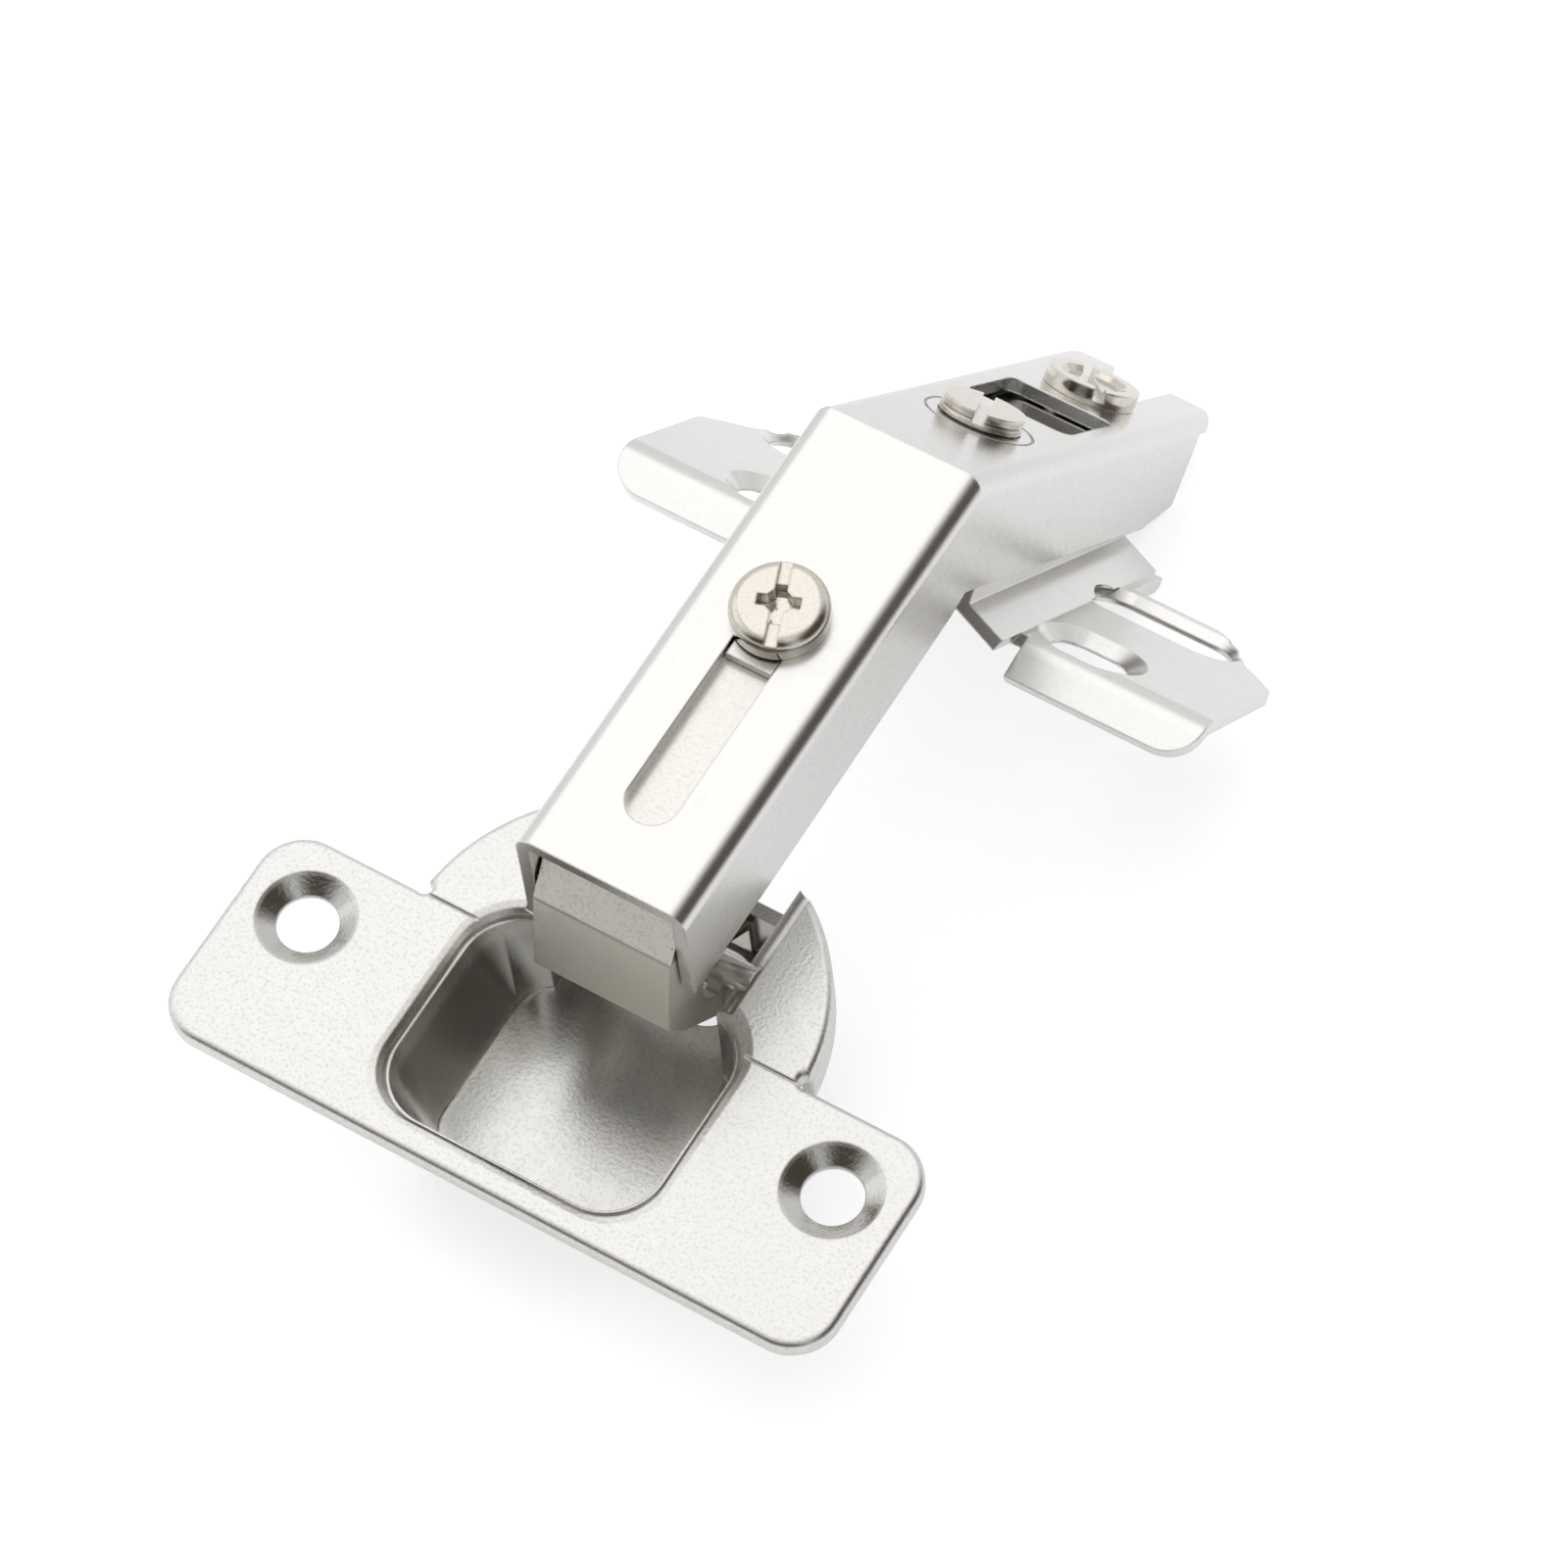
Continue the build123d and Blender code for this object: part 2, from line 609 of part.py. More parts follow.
# Mounting plate: two wings, a front skirt and the hump under the arm
with BuildPart() as mounting_plate:
    right_side = [(tail_half, tail_end), (hump_foot - sheet, tail_end), (hump_foot - sheet, wing_start)]
    right_side += [(wing_half, wing_start)] + wing_rear + [(tail_half, wing_end)]
    with BuildSketch(plate_plane.offset(wing_top)):
        with BuildLine():
            Polyline(*right_side, close=True)
        make_face()
        with Locations(oval_place):
            SlotOverall(*oval_size, mode=Mode.SUBTRACT)
        with Locations(wing_slot_place):
            SlotOverall(*wing_slot_size, mode=Mode.SUBTRACT)
    extrude(amount=-sheet)
    with BuildSketch(plate_plane.offset(wing_top)):
        with Locations(oval_place):
            SlotOverall(*oval_sink)
    with BuildSketch(plate_plane.offset(wing_top - oval_sink_depth)):
        with Locations(oval_place):
            SlotOverall(*oval_size)
    loft(mode=Mode.SUBTRACT)
    with BuildSketch(plate_side_plane.offset(ramp_inner)):
        with BuildLine():
            Polyline(*band(ramp_line, sheet), close=True)
        make_face()
    extrude(amount=wing_half - ramp_inner)
    fillet(mounting_plate.edges().filter_by(is_ramp_corner), radius=ramp_corner)
    with BuildSketch(plate_side_plane.offset(ramp_inner)):
        with BuildLine():
            bend_start, bend_middle, bend_end = round_fold(ramp_line[0], ramp_line[1], ramp_bend)
            Polyline(bend_start, ramp_line[1], bend_end)
            ThreePointArc(bend_start, bend_middle, bend_end)
        make_face()
    extrude(amount=wing_half - ramp_inner, mode=Mode.SUBTRACT)
    mirror(about=Plane.YZ)
    hump_line = [
        (-hump_foot, wing_top), (-hump_half, hump_crease), (-hump_half, hump_top),
        (hump_half, hump_top), (hump_half, hump_crease), (hump_foot, wing_top),
    ]
    with BuildSketch(plate_end_plane):
        with BuildLine():
            Polyline(*band(hump_line, sheet), close=True)
        make_face()
    extrude(amount=hump_end - hump_start)
    fillet(mounting_plate.edges().filter_by(is_hump_edge), radius=hump_bend)
    for side in (-1, 1):
        with BuildSketch(plate_plane.offset(wing_top)):
            with Locations((side * wing_slot_place[0], wing_slot_place[1])):
                SlotOverall(wing_slot_size[0] + 2 * wing_slot_bevel, wing_slot_size[1] + 2 * wing_slot_bevel)
        with BuildSketch(plate_plane.offset(wing_top - wing_slot_bevel)):
            with Locations((side * wing_slot_place[0], wing_slot_place[1])):
                SlotOverall(*wing_slot_size)
        loft(mode=Mode.SUBTRACT)
        with BuildSketch(plate_plane.offset(wing_top)):
            with Locations((side * wing_slot_place[0], wing_slot_place[1])):
                SlotOverall(*wing_slot_size)
        extrude(amount=2 * sheet, both=True, mode=Mode.SUBTRACT)
    with BuildSketch(plate_plane.offset(hump_top)):
        with Locations((0, (hump_window_start + hump_window_end) / 2)):
            RectangleRounded(2 * hump_window_half, hump_window_end - hump_window_start, sheet)
    extrude(amount=-sheet, mode=Mode.SUBTRACT)
    with BuildSketch(arm_plane):
        with Locations((0, fixing_place)):
            Circle(fixing_radius + running_fit)
    extrude(amount=-fixing_drop, mode=Mode.SUBTRACT)

# Closing spring: leaf behind the inner link
with BuildPart() as closing_spring:
    with BuildSketch(Plane.YZ.offset(-spring_half)):
        with BuildLine():
            Polyline(*band(spring_line[::-1], spring_sheet), close=True)
        make_face()
    extrude(amount=2 * spring_half)
    with BuildSketch(Plane.XZ):
        with Locations(spring_rivet_place, (-spring_rivet_place[0], spring_rivet_place[1])):
            Circle(spring_rivet_radius)
    extrude(amount=-cup_radius, mode=Mode.SUBTRACT)

# Rivets that hold the spring to the rear wall of the cup
with BuildPart() as spring_rivet_right:
    with BuildSketch(Plane.XZ.offset(-channel_end)):
        with Locations(spring_rivet_place):
            Circle(spring_rivet_head)
    extrude(amount=-spring_rivet_rise)
    with BuildSketch(Plane.XZ.offset(-channel_end)):
        with Locations(spring_rivet_place):
            Circle(spring_rivet_radius)
    extrude(amount=sheet + spring_sheet)

with BuildPart() as spring_rivet_left:
    add(mirror(spring_rivet_right.part, about=Plane.YZ, mode=Mode.PRIVATE))

cup.part.label = "cup"
outer_link.part.label = "outer_link"
inner_link.part.label = "inner_link"
outer_link_pin.part.label = "outer_link_pin"
inner_link_pin.part.label = "inner_link_pin"
outer_link_rivet.part.label = "outer_link_rivet"
inner_link_rivet.part.label = "inner_link_rivet"
hinge_arm.part.label = "hinge_arm"
inner_slide.part.label = "inner_slide"
clamp_plate.part.label = "clamp_plate"
clamp_screw.part.label = "clamp_screw"
adjusting_screw.part.label = "adjusting_screw"
fixing_screw.part.label = "fixing_screw"
mounting_plate.part.label = "mounting_plate"
closing_spring.part.label = "closing_spring"
spring_rivet_left.part.label = "spring_rivet_left"
spring_rivet_right.part.label = "spring_rivet_right"
export_step(cup.part, "parts/cup.step")
export_step(outer_link.part, "parts/outer_link.step")
export_step(inner_link.part, "parts/inner_link.step")
export_step(outer_link_pin.part, "parts/outer_link_pin.step")
export_step(inner_link_pin.part, "parts/inner_link_pin.step")
export_step(outer_link_rivet.part, "parts/outer_link_rivet.step")
export_step(inner_link_rivet.part, "parts/inner_link_rivet.step")
export_step(hinge_arm.part, "parts/hinge_arm.step")
export_step(inner_slide.part, "parts/inner_slide.step")
export_step(clamp_plate.part, "parts/clamp_plate.step")
export_step(clamp_screw.part, "parts/clamp_screw.step")
export_step(adjusting_screw.part, "parts/adjusting_screw.step")
export_step(fixing_screw.part, "parts/fixing_screw.step")
export_step(mounting_plate.part, "parts/mounting_plate.step")
export_step(closing_spring.part, "parts/closing_spring.step")
export_step(spring_rivet_left.part, "parts/spring_rivet_left.step")
export_step(spring_rivet_right.part, "parts/spring_rivet_right.step")
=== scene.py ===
import math

import bpy
from bpy.props import FloatProperty, FloatVectorProperty, PointerProperty
from mathutils import Matrix, Vector

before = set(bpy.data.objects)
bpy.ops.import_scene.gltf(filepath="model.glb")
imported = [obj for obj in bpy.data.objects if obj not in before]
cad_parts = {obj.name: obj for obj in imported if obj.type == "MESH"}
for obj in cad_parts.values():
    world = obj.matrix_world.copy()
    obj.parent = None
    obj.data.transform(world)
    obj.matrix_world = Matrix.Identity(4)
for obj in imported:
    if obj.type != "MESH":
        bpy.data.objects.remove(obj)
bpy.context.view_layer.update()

bl_info = {
    "name": "Corner Cabinet Hinge",
    "version": (1, 0, 0),
    "blender": (4, 5, 0),
    "location": "3D Viewport > Sidebar > Hinge",
    "description": "Finishes and stage of a nickel-plated corner cabinet hinge",
    "category": "Object",
}

# Like pieces that share a finish
LINKS = ("outer_link", "inner_link")
SLIDE_PARTS = ("inner_slide", "clamp_plate")
PINS = (
    "outer_link_pin", "inner_link_pin", "outer_link_rivet", "inner_link_rivet",
    "spring_rivet_left", "spring_rivet_right",
)

# A point on the axis of each screw, and how far the axis leans back from upright
BASE_LEAN = math.radians(48.7)
SCREW_AXES = {
    "clamp_screw": ((0, 0.0279, 0.0174), 0),
    "adjusting_screw": ((0, 0.05683, 0.0050), BASE_LEAN),
    "fixing_screw": ((0, 0.07300, -0.0134), BASE_LEAN),
}

# Countersinks of the flange
SINK_PLACES = ((-0.024, -0.006), (0.024, -0.006))
SINK_RADIUS = 0.0039

# Heights between which the drawn walls of the basin begin, and between which they end
WALL_TOP = (-0.0008, -0.0018)
WALL_FOOT = (-0.0100, -0.0088)
WALL_REACH = 0.0172

# Dome of the basin floor: centre, radius and height, and where the floor begins
DOME_CENTER = (0, -0.0070, -0.0105)
DOME_RADIUS = 0.013
DOME_HEIGHT = 0.0010
FLOOR_EDGE = (-0.0096, -0.0100)

# Heights between which the outer link turns from its leaning end to its front
LINK_FOLD = (0.0104, 0.0098)

# Patterns in the plating
SCRATCH_WIDTH = 0.00022
SCRATCH_LENGTHENING = 0.03
SCRATCH_DEPTH = 0.000012
SPECK_SPACING = 0.0012
SPECK_RADIUS = 0.00011
PATCH_SCALE = 60
RING_SCALE = 900
RING_DEPTH = 0.000006
SPECK_COLOR = (0.10, 0.09, 0.08)
# Colour of the painted shade that darkens narrow corners
CREVICE_SHADE_COLOR = (0.16, 0.14, 0.12)

# Points of the model that stand on the table, in the middle plane, and the gap under them
FRONT_FOOT = (-0.0138, -0.0112)
REAR_FOOT = (0.0731, -0.0253)
TABLE_GAP = 0.0001
TABLE_COLORS = ((0.90, 0.91, 0.93), (0.92, 0.93, 0.95))
# Distances from the model over which the table's painted reflection in the metal fades out
PAINTED_REFLECTION_REACH = (0.10, 0.30)

# Dark parts of the room: direction, and where each begins and is full, as cosines
DARK_OPENINGS = (
    ((0.10, -0.92, 0.30), 0.60, 0.86),
    ((0.86, 0.22, 0.40), 0.66, 0.90),
)
DARK_COLOR = (0.10, 0.085, 0.065)

# Soft lights: name, place, size and share of the light's power
SOFT_LIGHTS = (
    ("main_softbox", (-0.50, 0.62, 1.30), 1.2, 1.0),
    ("side_softbox", (-1.10, -0.10, 0.70), 0.8, 0.3),
)
LIGHT_AIM = (0, 0.02, 0)

# Camera that took the photograph, in the frame of the model
CAMERA_PLACE = (0.177697, -0.200344, 0.502687)
CAMERA_RIGHT = (0.852037, 0.519142, -0.067261)
CAMERA_DOWN = (0.425867, -0.762130, -0.487643)
CAMERA_AWAY = (-0.304417, 0.386846, -0.870448)
CAMERA_LENS = 168.76
SENSOR_WIDTH = 36


class HINGE_PG_settings(bpy.types.PropertyGroup):
    """Sizes and colours of the finish and the stage"""

    nickel_color: FloatVectorProperty(
        name="Nickel", description="Colour of the bright plating",
        default=(0.80, 0.79, 0.77), size=3, subtype="COLOR", min=0, max=1,
    )
    pressed_color: FloatVectorProperty(
        name="Cup", description="Colour of the plating on the pressed cup",
        default=(0.76, 0.75, 0.72), size=3, subtype="COLOR", min=0, max=1,
    )
    # Duller plating of the links, warm-tinted as a painted brownish reflection
    link_color_and_painted_reflection: FloatVectorProperty(
        name="Links", description="Colour of the duller plating on the links",
        default=(0.68, 0.65, 0.59), size=3, subtype="COLOR", min=0, max=1,
    )
    inner_color: FloatVectorProperty(
        name="Inner parts", description="Colour of the parts inside the arm",
        default=(0.78, 0.76, 0.72), size=3, subtype="COLOR", min=0, max=1,
    )
    screw_color: FloatVectorProperty(
        name="Screws", description="Colour of the warmer plating on the screws",
        default=(0.72, 0.68, 0.61), size=3, subtype="COLOR", min=0, max=1,
    )
    pebble_size: FloatProperty(
        name="Grain", description="Size of the grain in the pressed sheet",
        default=0.00030, unit="LENGTH", min=0.00005, max=0.002,
    )
    edge_radius: FloatProperty(
        name="Edge", description="Width of the worn and polished edges",
        default=0.00025, unit="LENGTH", min=0, max=0.002,
    )
    # Reach and strength of the painted shade that darkens narrow corners
    crevice_size: FloatProperty(
        name="Crevice", description="Reach of the dirt in narrow corners",
        default=0.0007, unit="LENGTH", min=0.0001, max=0.01,
    )
    crevice_shade_strength: FloatProperty(
        name="Dirt", description="Strength of the dirt in narrow corners",
        default=0.55, min=0, max=1,
    )
    floor_size: FloatProperty(
        name="Floor", description="Side of the table",
        default=3.0, unit="LENGTH", min=0.5, max=10,
    )
    table_glow: FloatProperty(
        name="Table white", description="Share of white that the table shows of its own",
        default=0.56, min=0, max=1,
    )
    # Glow of the table seen only in reflections near the model: painted reflection
    table_painted_reflection: FloatProperty(
        name="Table in the metal", description="White that the table adds to reflections",
        default=0.36, min=0, max=1,
    )
    light_power: FloatProperty(
        name="Light", description="Power of the main soft light",
        default=2.2, unit="POWER", min=0, max=100,
    )
    room_light: FloatProperty(
        name="Room", description="Brightness of the light tent",
        default=0.84, min=0, max=3,
    )


def new_material(name):
    """Empty node material, its tree and its shader."""
    material = bpy.data.materials.new(name)
    material.use_nodes = True
    tree = material.node_tree
    tree.nodes.clear()
    output = tree.nodes.new("ShaderNodeOutputMaterial")
    shader = tree.nodes.new("ShaderNodeBsdfPrincipled")
    tree.links.new(shader.outputs["BSDF"], output.inputs["Surface"])
    return material, tree, shader


def noise(tree, scale, detail, coordinates):
    """Noise texture on object coordinates."""
    node = tree.nodes.new("ShaderNodeTexNoise")
    node.inputs["Scale"].default_value = scale
    node.inputs["Detail"].default_value = detail
    tree.links.new(coordinates, node.inputs["Vector"])
    return node.outputs["Fac"]


def remap(tree, value, low, high, to_low, to_high):
    """Clamped linear map of a value."""
    node = tree.nodes.new("ShaderNodeMapRange")
    node.inputs["From Min"].default_value = low
    node.inputs["From Max"].default_value = high
    node.inputs["To Min"].default_value = to_low
    node.inputs["To Max"].default_value = to_high
    tree.links.new(value, node.inputs["Value"])
    return node.outputs["Result"]


def combine(tree, operation, first, second):
    """Math node on two values, each a number or a socket."""
    node = tree.nodes.new("ShaderNodeMath")
    node.operation = operation
    for socket, value in ((node.inputs[0], first), (node.inputs[1], second)):
        if isinstance(value, bpy.types.NodeSocket):
            tree.links.new(value, socket)
        else:
            socket.default_value = value
    return node.outputs[0]


def vector_math(tree, operation, first, second):
    """Vector node on two vectors, the first a socket and the second a socket or numbers."""
    node = tree.nodes.new("ShaderNodeVectorMath")
    node.operation = operation
    tree.links.new(first, node.inputs[0])
    if isinstance(second, bpy.types.NodeSocket):
        tree.links.new(second, node.inputs[1])
    else:
        node.inputs[1].default_value = second
    return node


def blend_color(tree, factor, first, second):
    """Mix of two colours, each a value or a socket."""
    node = tree.nodes.new("ShaderNodeMix")
    node.data_type = "RGBA"
    tree.links.new(factor, node.inputs["Factor"])
    for socket, value in ((node.inputs[6], first), (node.inputs[7], second)):
        if isinstance(value, bpy.types.NodeSocket):
            tree.links.new(value, socket)
        else:
            socket.default_value = (*value, 1)
    return node.outputs[2]


def shade(color, share):
    """Colour made darker or lighter by a share, and never over white."""
    return tuple(min(1, value * share) for value in color)


def bumped(tree, height, strength, distance, normal):
    """Bump on top of another normal."""
    node = tree.nodes.new("ShaderNodeBump")
    node.inputs["Strength"].default_value = strength
    node.inputs["Distance"].default_value = distance
    tree.links.new(height, node.inputs["Height"])
    tree.links.new(normal, node.inputs["Normal"])
    return node.outputs["Normal"]


def turned(tree, coordinates, turn):
    """Coordinates turned about the origin."""
    node = tree.nodes.new("ShaderNodeMapping")
    node.inputs["Rotation"].default_value = turn
    tree.links.new(coordinates, node.inputs["Vector"])
    return node.outputs["Vector"]


def near_axis(tree, coordinates, place, radius):
    """One inside an upright cylinder, with a soft border."""
    flat = vector_math(tree, "MULTIPLY", coordinates, (1, 1, 0))
    gap = vector_math(tree, "DISTANCE", flat.outputs["Vector"], (*place, 0))
    return remap(tree, gap.outputs["Value"], radius, radius - 0.0001, 0, 1)


def below(tree, coordinates, high, low):
    """Rises from zero at one height to one at another."""
    split = tree.nodes.new("ShaderNodeSeparateXYZ")
    tree.links.new(coordinates, split.inputs["Vector"])
    return remap(tree, split.outputs["Z"], high, low, 0, 1)


def scratches(tree, coordinates, turn):
    """Fine lines that run along one direction of the sheet."""
    stretch = tree.nodes.new("ShaderNodeMapping")
    stretch.inputs["Scale"].default_value = (1.0, SCRATCH_LENGTHENING, 1.0)
    tree.links.new(turned(tree, coordinates, turn), stretch.inputs["Vector"])
    return noise(tree, 1 / SCRATCH_WIDTH, 2, stretch.outputs["Vector"])


def specks(tree, coordinates, share):
    """Sparse round specks: one cell in a few holds a small dot."""
    cells = tree.nodes.new("ShaderNodeTexVoronoi")
    cells.inputs["Scale"].default_value = 1 / SPECK_SPACING
    tree.links.new(coordinates, cells.inputs["Vector"])
    split = tree.nodes.new("ShaderNodeSeparateColor")
    tree.links.new(cells.outputs["Color"], split.inputs["Color"])
    rim = SPECK_RADIUS / SPECK_SPACING
    dot = remap(tree, cells.outputs["Distance"], rim, 0.6 * rim, 0, 1)
    chosen = remap(tree, split.outputs["Red"], 1 - share, 1 - share + 0.01, 0, 1)
    return combine(tree, "MULTIPLY", dot, chosen)


def rounded_edges(tree, radius):
    """Normal with softened edges, and a mask of the worn edges themselves."""
    bevel = tree.nodes.new("ShaderNodeBevel")
    bevel.samples = 4
    bevel.inputs["Radius"].default_value = radius
    geometry = tree.nodes.new("ShaderNodeNewGeometry")
    facing = vector_math(tree, "DOT_PRODUCT", bevel.outputs["Normal"], geometry.outputs["Normal"])
    return bevel.outputs["Normal"], remap(tree, facing.outputs["Value"], 0.985, 0.90, 0, 1)


def painted_crevice_shade(tree, settings):
    """Mask of painted shade in narrow corners, taken from ambient occlusion."""
    shadow = tree.nodes.new("ShaderNodeAmbientOcclusion")
    shadow.only_local = True
    shadow.samples = 6
    shadow.inputs["Distance"].default_value = settings.crevice_size
    return remap(tree, shadow.outputs["AO"], 0.30, 0.75, settings.crevice_shade_strength, 0)


def lathe_rings(tree, coordinates, axis, normal):
    """Bump of the rings that the lathe left round the axis of a screw."""
    place, lean = axis
    centred = vector_math(tree, "SUBTRACT", coordinates, place)
    rings = tree.nodes.new("ShaderNodeTexWave")
    rings.wave_type = "RINGS"
    rings.rings_direction = "Z"
    rings.inputs["Scale"].default_value = RING_SCALE
    rings.inputs["Distortion"].default_value = 0.6
    tree.links.new(turned(tree, centred.outputs["Vector"], (lean, 0, 0)), rings.inputs["Vector"])
    return bumped(tree, rings.outputs["Fac"], 0.5, RING_DEPTH, normal)


def cup_polish_and_painted_shade(tree, coordinates):
    """Polished countersinks and drawn basin walls, both darkened as painted shade in these hollows: mask,
    share of colour and share of roughness.
    """
    # Painted shade: countersinks and basin walls darkened in colour; their lower roughness is their own
    # polish
    left, right = (near_axis(tree, coordinates, place, SINK_RADIUS) for place in SINK_PLACES)
    shaded_sinks = combine(tree, "MAXIMUM", left, right)
    under_top, over_foot = (below(tree, coordinates, *heights) for heights in (WALL_TOP, WALL_FOOT))
    shaded_walls = combine(tree, "MULTIPLY", under_top, over_foot)
    shaded_walls = combine(tree, "MULTIPLY", shaded_walls, near_axis(tree, coordinates, (0, 0), WALL_REACH))
    return (shaded_sinks, 0.80, 0.45), (shaded_walls, 0.72, 0.62)


def link_front_painted_light(tree, coordinates):
    """Front of the link under its sheared and leaning end: lighter as painted light, and softer."""
    return ((below(tree, coordinates, *LINK_FOLD), 1.40, 1.55),)


def basin_dome(tree, coordinates):
    """Height of the slightly domed basin floor, in shares of its full height."""
    gap = vector_math(tree, "DISTANCE", coordinates, DOME_CENTER)
    reach = combine(tree, "DIVIDE", gap.outputs["Value"], DOME_RADIUS)
    height = combine(tree, "SUBTRACT", 1, combine(tree, "MULTIPLY", reach, reach))
    return combine(tree, "MULTIPLY", height, below(tree, coordinates, *FLOOR_EDGE))


def nickel(
    name, settings, color, rough, pebble_depth, pitted, scratched, specked=0.0,
    uneven=0.05, scratch_turn=(0, 0, 0), painted_light_zones=None, dome=None, screw_axis=None,
):
    """Plated steel: grain, pits, fine scratches, specks, worn edges, painted shade in narrow corners and,
    on a screw, lathe rings.
    """
    material, tree, shader = new_material(name)
    coordinates = tree.nodes.new("ShaderNodeTexCoord").outputs["Object"]
    grain = noise(tree, 1 / settings.pebble_size, 1, coordinates)
    clouds = noise(tree, 0.22 / settings.pebble_size, 2, coordinates)
    patches = noise(tree, PATCH_SCALE, 3, coordinates)
    lines = scratches(tree, coordinates, scratch_turn)
    normal, edge = rounded_edges(tree, settings.edge_radius)

    base = blend_color(tree, remap(tree, grain, 0.50, 0.68, 0, pitted), color, shade(color, 0.62))
    base = blend_color(tree, remap(tree, patches, 0.35, 0.65, 0, 0.3), base, shade(color, 0.94))
    base = blend_color(tree, remap(tree, lines, 0.55, 0.75, 0, scratched), base, shade(color, 0.80))
    if specked:
        base = blend_color(tree, specks(tree, coordinates, specked), base, SPECK_COLOR)
    base = blend_color(tree, edge, base, shade(color, 1.06))
    roughness = remap(tree, clouds, 0.3, 0.7, rough * (1 - uneven), rough * (1 + uneven))
    roughness = combine(tree, "MULTIPLY", roughness, remap(tree, edge, 0, 1, 1, 0.62))
    # Zones whose colour holds painted light or shade, each with its own roughness
    for mask, painted_light_share, rough_share in painted_light_zones(tree, coordinates) if painted_light_zones else ():
        base = blend_color(tree, mask, base, shade(color, painted_light_share))
        roughness = combine(tree, "MULTIPLY", roughness, remap(tree, mask, 0, 1, 1, rough_share))
    # Painted shade: narrow corners darkened by ambient occlusion
    base = blend_color(tree, painted_crevice_shade(tree, settings), base, CREVICE_SHADE_COLOR)
    tree.links.new(base, shader.inputs["Base Color"])
    tree.links.new(roughness, shader.inputs["Roughness"])
    shader.inputs["Metallic"].default_value = 1.0

    normal = bumped(tree, grain, 0.5, pebble_depth, normal)
    normal = bumped(tree, lines, 0.5, SCRATCH_DEPTH * scratched, normal)
    if dome:
        normal = bumped(tree, dome(tree, coordinates), 1.0, DOME_HEIGHT, normal)
    if screw_axis:
        normal = lathe_rings(tree, coordinates, screw_axis, normal)
    tree.links.new(normal, shader.inputs["Normal"])
    return material


def coat(nodes, material):
    """Give carried-over nodes one material, and nothing else."""
    for node in nodes:
        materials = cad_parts[node].data.materials
        materials.clear()
        materials.append(material)


class HINGE_OT_cup(bpy.types.Operator):
    """Coat the pressed cup: grained flange, polished countersinks and drawn basin"""

    bl_idname = "hinge.cup"
    bl_label = "Cup"

    def execute(self, context):
        settings = context.scene.hinge_settings
        coat(("cup",), nickel(
            "pressed_nickel", settings, tuple(settings.pressed_color), rough=0.30, pebble_depth=0.00003,
            pitted=0.40, scratched=0.05, uneven=0.06, painted_light_zones=cup_polish_and_painted_shade, dome=basin_dome,
        ))
        return {"FINISHED"}


class HINGE_OT_links(bpy.types.Operator):
    """Coat the two links between the cup and the slide"""

    bl_idname = "hinge.links"
    bl_label = "Links"

    def execute(self, context):
        settings = context.scene.hinge_settings
        coat(LINKS, nickel(
            "link_nickel", settings, tuple(settings.link_color_and_painted_reflection), rough=0.36, pebble_depth=0.000005,
            pitted=0.50, scratched=0.20, specked=0.06, painted_light_zones=link_front_painted_light,
        ))
        return {"FINISHED"}


class HINGE_OT_pins(bpy.types.Operator):
    """Coat the pins and rivets of the links and the rivets of the spring"""

    bl_idname = "hinge.pins"
    bl_label = "Pins and rivets"

    def execute(self, context):
        settings = context.scene.hinge_settings
        coat(PINS, nickel(
            "pin_nickel", settings, tuple(settings.nickel_color), rough=0.22, pebble_depth=0.000003,
            pitted=0.20, scratched=0.20,
        ))
        return {"FINISHED"}


class HINGE_OT_spring(bpy.types.Operator):
    """Coat the leaf spring, rolled along its length"""

    bl_idname = "hinge.spring"
    bl_label = "Closing spring"

    def execute(self, context):
        settings = context.scene.hinge_settings
        coat(("closing_spring",), nickel(
            "spring_steel", settings, tuple(settings.link_color_and_painted_reflection), rough=0.22, pebble_depth=0.000003,
            pitted=0.20, scratched=0.50, scratch_turn=(0, 0, math.pi / 2),
        ))
        return {"FINISHED"}


class HINGE_OT_slide(bpy.types.Operator):
    """Coat the slide inside the arm and the clamp plate under it"""

    bl_idname = "hinge.slide"
    bl_label = "Slide and clamp plate"

    def execute(self, context):
        settings = context.scene.hinge_settings
        coat(SLIDE_PARTS, nickel(
            "slide_nickel", settings, tuple(settings.inner_color), rough=0.30, pebble_depth=0.000004,
            pitted=0.30, scratched=0.30, specked=0.04,
        ))
        return {"FINISHED"}


class HINGE_OT_arm(bpy.types.Operator):
    """Coat the bent arm"""

    bl_idname = "hinge.arm"
    bl_label = "Arm"

    def execute(self, context):
        settings = context.scene.hinge_settings
        coat(("hinge_arm",), nickel(
            "arm_nickel", settings, tuple(settings.nickel_color), rough=0.27, pebble_depth=0.0000015,
            pitted=0.06, scratched=0.14, specked=0.015,
        ))
        return {"FINISHED"}


class HINGE_OT_plate(bpy.types.Operator):
    """Coat the winged mounting plate"""

    bl_idname = "hinge.plate"
    bl_label = "Mounting plate"

    def execute(self, context):
        settings = context.scene.hinge_settings
        coat(("mounting_plate",), nickel(
            "plate_nickel", settings, tuple(settings.nickel_color), rough=0.26, pebble_depth=0.0000015,
            pitted=0.08, scratched=0.08, specked=0.015,
        ))
        return {"FINISHED"}


class HINGE_OT_screws(bpy.types.Operator):
    """Coat the three screws, each with lathe rings round its own axis"""

    bl_idname = "hinge.screws"
    bl_label = "Screws"

    def execute(self, context):
        settings = context.scene.hinge_settings
        for screw, axis in SCREW_AXES.items():
            coat((screw,), nickel(
                screw + "_nickel", settings, tuple(settings.screw_color), rough=0.13, pebble_depth=0.000003,
                pitted=0.25, scratched=0.10, specked=0.02, screw_axis=axis,
            ))
        return {"FINISHED"}


